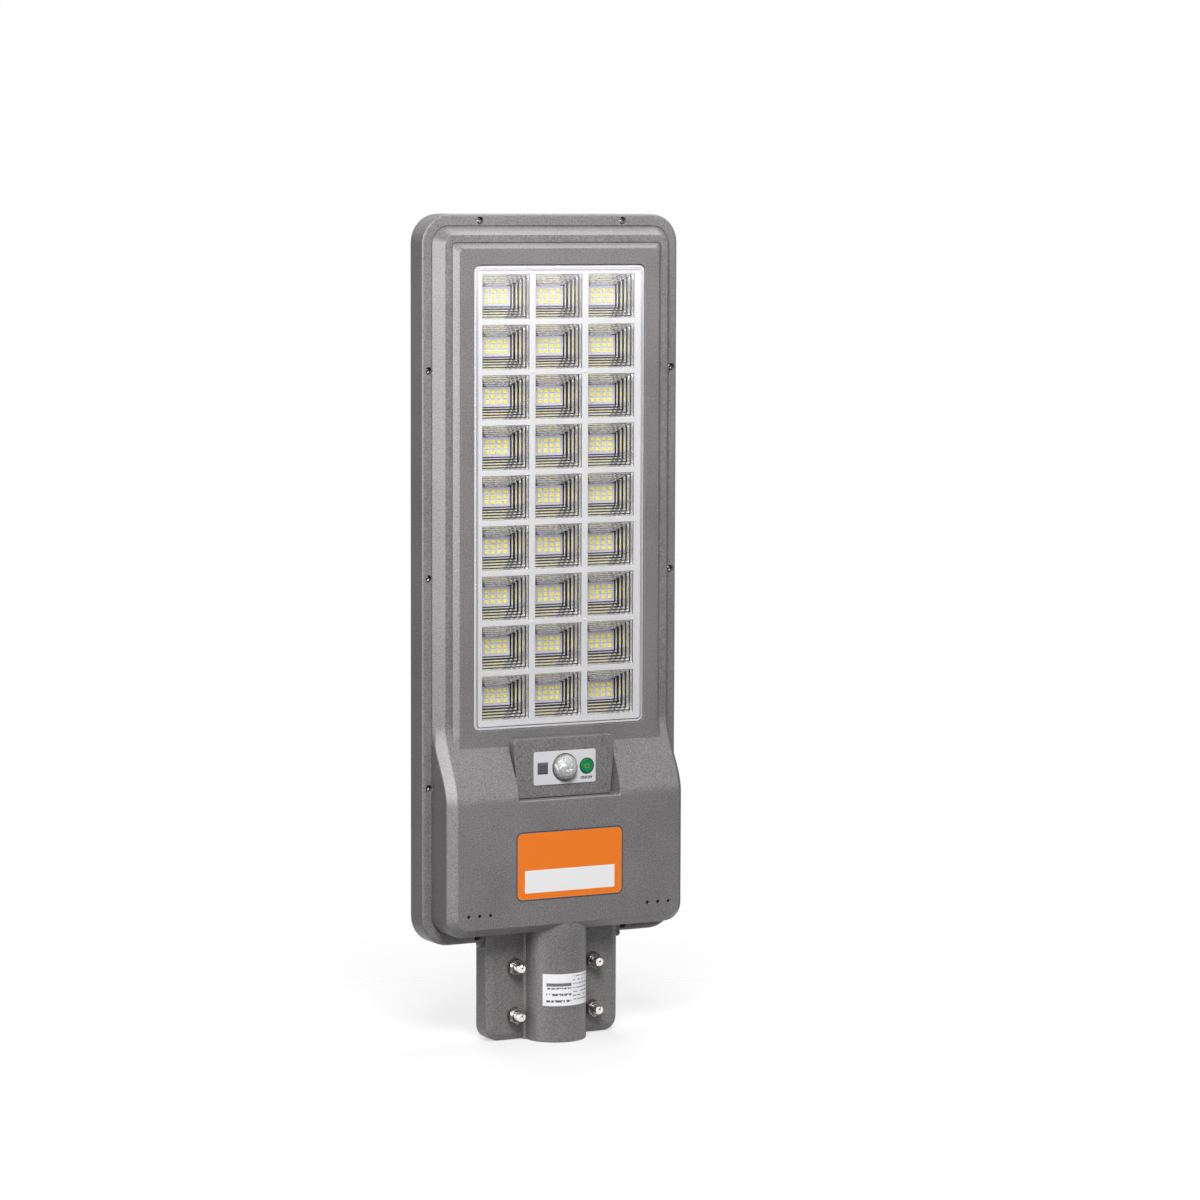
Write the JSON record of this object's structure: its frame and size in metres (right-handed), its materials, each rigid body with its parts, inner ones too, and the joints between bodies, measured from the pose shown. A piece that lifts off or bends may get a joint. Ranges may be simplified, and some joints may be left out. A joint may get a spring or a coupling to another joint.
{
  "type": "solar street lamp head",
  "caption": "Flat solar street lamp head: LED window, battery hood and sensors on one side, solar panel on the other, and a bolted clamp for a round pole at its neck.",
  "frame": {"origin": "on the pole's axis, in the plane of the neck's open lower end", "axes": "+Z along the pole's axis from the clamp to the lamp's far end, -Y out of the LED side, +Y out of the solar panel, +X to the right seen from the LED side"},
  "size_m": [0.24, 0.062, 0.6918],
  "materials": {
    "housing_grey": "finely textured moulded ABS",
    "saddle_grey": "textured powder coat on pressed steel",
    "seal_rubber": "foamed silicone",
    "white_plastic": "smooth",
    "clear_plastic": "clear polycarbonate",
    "plated_plastic": "vacuum plated",
    "led_board": "white solder mask",
    "panel_glass": "tempered low-iron glass",
    "solar_cell": "monocrystalline silicon with silver busbars",
    "black_plastic": "moulded",
    "green_rubber": "smooth silicone cap",
    "circuit_board": "green solder mask",
    "battery": "shrink sleeve over a metal can",
    "lead_red": "silicone insulation",
    "stainless_steel": "bright stainless steel"
  },
  "bodies": {
    "lamp": {"front_housing": "housing_grey", "rear_frame": "housing_grey", "sensor_slab": "housing_grey", "housing_seal": "seal_rubber", "panel_seal": "seal_rubber", "lens_seal": "white_plastic", "sensor_face_plate": "white_plastic", "panel_backsheet": "white_plastic", "lens_cover": "clear_plastic", "motion_lens": "clear_plastic", "reflector_tray": "plated_plastic", "led_board": "led_board", "panel_glass": "panel_glass", "cell_string": "solar_cell", "panel_terminal": "black_plastic", "light_sensor": "black_plastic", "push_switch": "black_plastic", "battery_tray": "black_plastic", "motion_sensor": "stainless_steel", "sensor_board": "circuit_board", "bms_board": "circuit_board", "controller_board": "circuit_board", "battery_cell_1": "battery", "battery_cell_2": "battery", "battery_cell_3": "battery", "battery_cell_4": "battery", "battery_cell_5": "battery", "battery_cell_6": "battery", "battery_lead": "lead_red", "led_lead": "lead_red", "panel_lead": "black_plastic", "housing_screw_01": "stainless_steel", "housing_screw_02": "stainless_steel", "housing_screw_03": "stainless_steel", "housing_screw_04": "stainless_steel", "housing_screw_05": "stainless_steel", "housing_screw_06": "stainless_steel", "housing_screw_07": "stainless_steel", "housing_screw_08": "stainless_steel", "housing_screw_09": "stainless_steel", "housing_screw_10": "stainless_steel", "clamp_nut_1": "stainless_steel", "clamp_nut_2": "stainless_steel", "clamp_nut_3": "stainless_steel", "clamp_nut_4": "stainless_steel"},
    "clamp": {"clamp_saddle": "saddle_grey", "flat_washer_1": "stainless_steel", "flat_washer_2": "stainless_steel", "flat_washer_3": "stainless_steel", "flat_washer_4": "stainless_steel"},
    "bolt_1": {"clamp_bolt_1": "stainless_steel", "spring_washer_1": "stainless_steel"},
    "bolt_2": {"clamp_bolt_2": "stainless_steel", "spring_washer_2": "stainless_steel"},
    "bolt_3": {"clamp_bolt_3": "stainless_steel", "spring_washer_3": "stainless_steel"},
    "bolt_4": {"clamp_bolt_4": "stainless_steel", "spring_washer_4": "stainless_steel"},
    "button": {"power_button": "green_rubber"}
  },
  "joints": [
    {"name": "clamp_slide", "type": "slide", "parent": "lamp", "child": "clamp", "axis": [0, 1, 0], "range_m": [0, 0.01]},
    {"name": "bolt_1_turn", "type": "hinge", "parent": "clamp", "child": "bolt_1", "pos_m": [-0.037, 0, 0.0626], "axis": [0, 1, 0], "range_deg": [0, 2880]},
    {"name": "bolt_2_turn", "type": "hinge", "parent": "clamp", "child": "bolt_2", "pos_m": [0.037, 0, 0.0626], "axis": [0, 1, 0], "range_deg": [0, 2880]},
    {"name": "bolt_3_turn", "type": "hinge", "parent": "clamp", "child": "bolt_3", "pos_m": [-0.037, 0, 0.0214], "axis": [0, 1, 0], "range_deg": [0, 2880]},
    {"name": "bolt_4_turn", "type": "hinge", "parent": "clamp", "child": "bolt_4", "pos_m": [0.037, 0, 0.0214], "axis": [0, 1, 0], "range_deg": [0, 2880]},
    {"name": "button_press", "type": "slide", "parent": "lamp", "child": "button", "axis": [0, 1, 0], "range_m": [0, 0.0018], "stiffness_N_per_m": 400}
  ],
  "couplings": [
    {"joint": "bolt_1_turn", "follows": "clamp_slide", "rad_per_m": 5026.5},
    {"joint": "bolt_2_turn", "follows": "clamp_slide", "rad_per_m": 5026.5},
    {"joint": "bolt_3_turn", "follows": "clamp_slide", "rad_per_m": 5026.5},
    {"joint": "bolt_4_turn", "follows": "clamp_slide", "rad_per_m": 5026.5}
  ]
}
